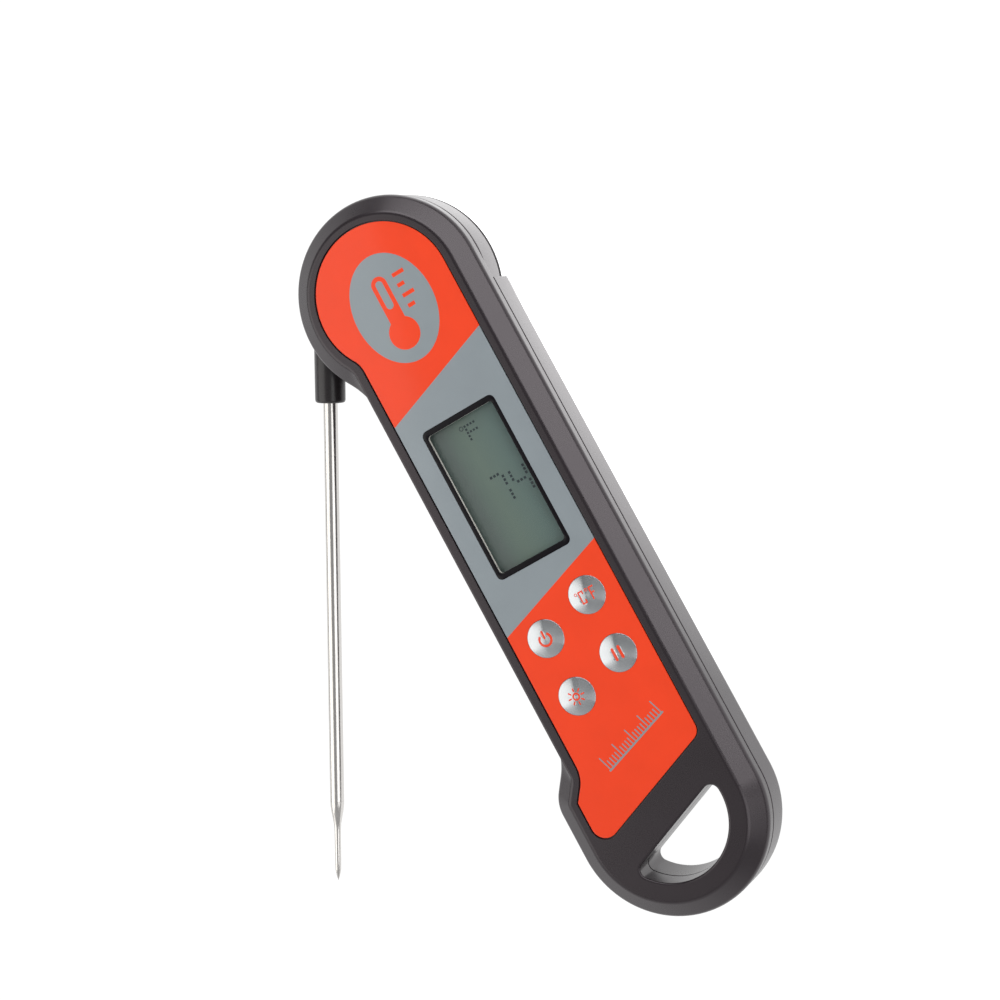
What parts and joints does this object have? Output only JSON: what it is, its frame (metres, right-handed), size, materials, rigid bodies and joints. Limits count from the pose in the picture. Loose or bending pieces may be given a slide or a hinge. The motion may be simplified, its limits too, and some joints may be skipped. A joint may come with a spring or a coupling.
{
  "type": "folding meat thermometer",
  "caption": "Flat folding digital meat thermometer with a swing-out steel probe on a round hub, a small display, domed push buttons and a hanging loop.",
  "frame": {"origin": "where the probe's hinge axis meets the back plane, at the middle of the hub cover", "axes": "+Z out of the display, +Y from the foot to the head, +X to the right seen from the front; the part lies on its back"},
  "size_m": [0.0985, 0.1632, 0.0165],
  "materials": {
    "shell_plastic": "satin, finely grained",
    "overlay_film": "gloss film, printed on its back",
    "bezel_black": "gloss",
    "window_clear": "polished",
    "display_glass": "gloss",
    "button_metal": "satin silver coating",
    "probe_steel": "polished along its length",
    "spring_steel": "plain",
    "screw_steel": "plain",
    "collar_plastic": "gloss",
    "white_plastic": "plain",
    "board_green": "solder mask",
    "chip_black": "plain",
    "seal_rubber": "plain",
    "natural_plastic": "plain",
    "cell_steel": "plain",
    "wire_coat": "plain"
  },
  "bodies": {
    "casing": {"front_shell": "shell_plastic", "rear_shell": "shell_plastic", "overlay": "overlay_film", "display_bezel": "bezel_black", "display_window": "window_clear", "lcd_frame": "white_plastic", "lcd_panel": "display_glass", "backlight_plate": "white_plastic", "lcd_connector": "seal_rubber", "main_board": "board_green", "bonded_chip": "chip_black", "switch_unit": "chip_black", "switch_power": "chip_black", "switch_hold": "chip_black", "switch_light": "chip_black", "coin_cell": "cell_steel", "battery_holder": "collar_plastic", "contact_negative": "spring_steel", "contact_positive": "spring_steel", "board_lead": "wire_coat", "hinge_plate": "natural_plastic", "hub_bush": "natural_plastic", "case_screw_1": "screw_steel", "case_screw_2": "screw_steel", "case_screw_3": "screw_steel", "case_screw_4": "screw_steel", "case_screw_5": "screw_steel", "case_screw_6": "screw_steel", "plate_screw_1": "screw_steel", "plate_screw_2": "screw_steel", "plate_screw_3": "screw_steel"},
    "button_unit": {"button_unit": "button_metal"},
    "button_power": {"button_power": "button_metal"},
    "button_hold": {"button_hold": "button_metal"},
    "button_light": {"button_light": "button_metal"},
    "probe_arm": {"hub_shell": "shell_plastic", "hub_cover": "shell_plastic", "hub_seal": "seal_rubber", "hub_wave_washer": "spring_steel", "hub_clip": "spring_steel", "hub_screw_1": "screw_steel", "hub_screw_2": "screw_steel", "hub_screw_3": "screw_steel", "probe_collar": "collar_plastic", "probe_tube": "probe_steel", "probe_tip": "probe_steel", "temperature_sensor": "chip_black", "probe_lead": "wire_coat"},
    "door": {"battery_door": "shell_plastic", "door_seal": "seal_rubber"}
  },
  "joints": [
    {"name": "probe_fold", "type": "hinge", "parent": "casing", "child": "probe_arm", "pos_m": [0, 0, 0], "axis": [0, 0, -1], "range_deg": [-29.55, 150.45]},
    {"name": "door_turn", "type": "hinge", "parent": "casing", "child": "door", "pos_m": [0.0033, -0.062, 0.001], "axis": [0, 0, -1], "range_deg": [0, 45]},
    {"name": "unit_press", "type": "slide", "parent": "casing", "child": "button_unit", "axis": [0, 0, -1], "range_m": [0, 0.0005], "stiffness_N_per_m": 1200, "springref_m": -0.0002},
    {"name": "power_press", "type": "slide", "parent": "casing", "child": "button_power", "axis": [0, 0, -1], "range_m": [0, 0.0005], "stiffness_N_per_m": 1200, "springref_m": -0.0002},
    {"name": "hold_press", "type": "slide", "parent": "casing", "child": "button_hold", "axis": [0, 0, -1], "range_m": [0, 0.0005], "stiffness_N_per_m": 1200, "springref_m": -0.0002},
    {"name": "light_press", "type": "slide", "parent": "casing", "child": "button_light", "axis": [0, 0, -1], "range_m": [0, 0.0005], "stiffness_N_per_m": 1200, "springref_m": -0.0002}
  ]
}
